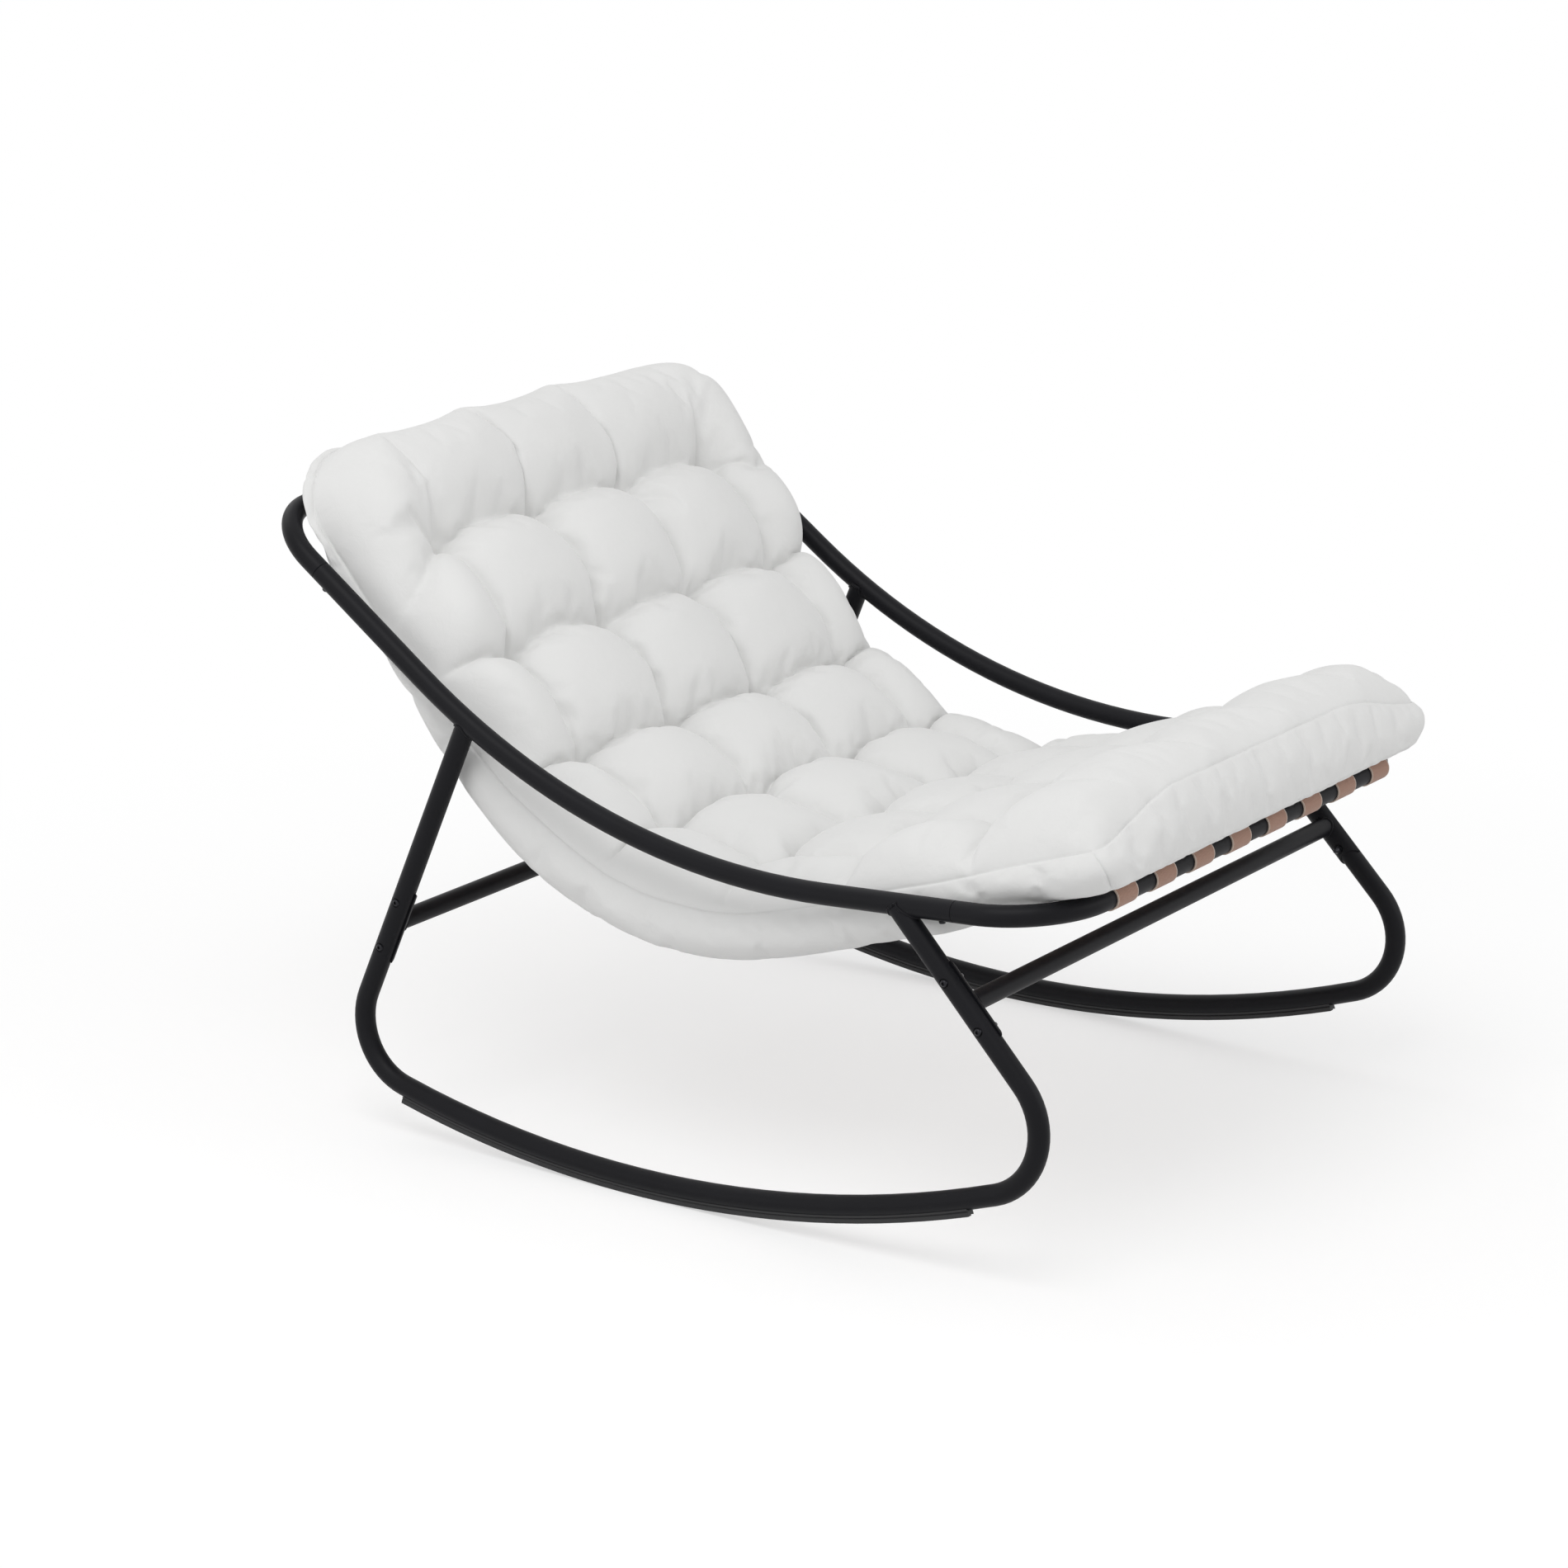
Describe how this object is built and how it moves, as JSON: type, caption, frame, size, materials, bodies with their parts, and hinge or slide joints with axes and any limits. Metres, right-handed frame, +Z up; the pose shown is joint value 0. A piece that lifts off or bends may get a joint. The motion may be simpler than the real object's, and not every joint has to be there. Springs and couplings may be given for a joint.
{
  "type": "rocking chaise lounge",
  "caption": "Low rocking chaise lounge: bent black steel tube frame on curved rockers, tan webbing straps slung from end to end and a long tufted white cushion.",
  "frame": {"origin": "centre of the bounding box on the floor, under the chaise at rest", "axes": "+X across the chaise, +Y along it towards the head end, +Z up; the foot end is towards -Y"},
  "size_m": [0.9762, 1.2868, 0.9084],
  "materials": {
    "black_powder_coat": "near-black powder coat on steel tube, semi-matte with a fine even grain",
    "blackened_steel": "black zinc plated steel fasteners, satin",
    "strip_plastic": "black moulded polypropylene, matte",
    "tan_webbing": "tan woven elastic webbing with lengthwise ribs and pale selvedges",
    "white_canvas": "off-white woven polyester canvas, matte, softly creased at the tufts"
  },
  "bodies": {
    "root": {"head_tube": "black_powder_coat", "foot_tube": "black_powder_coat", "side_rail_left": "black_powder_coat", "side_rail_right": "black_powder_coat", "rocker_tube_left": "black_powder_coat", "rocker_tube_right": "black_powder_coat", "cross_bar_rear": "black_powder_coat", "cross_bar_front": "black_powder_coat", "saddle_brackets_rear": "black_powder_coat", "saddle_brackets_front": "black_powder_coat", "bracket_bolts": "blackened_steel", "bracket_nuts": "blackened_steel", "rail_screws": "blackened_steel", "strip_screws": "blackened_steel", "floor_strip_left": "strip_plastic", "floor_strip_right": "strip_plastic", "strap_1": "tan_webbing", "strap_2": "tan_webbing", "strap_3": "tan_webbing", "strap_4": "tan_webbing", "strap_5": "tan_webbing", "strap_6": "tan_webbing", "strap_7": "tan_webbing", "strap_8": "tan_webbing", "cushion": "white_canvas"}
  },
  "joints": []
}
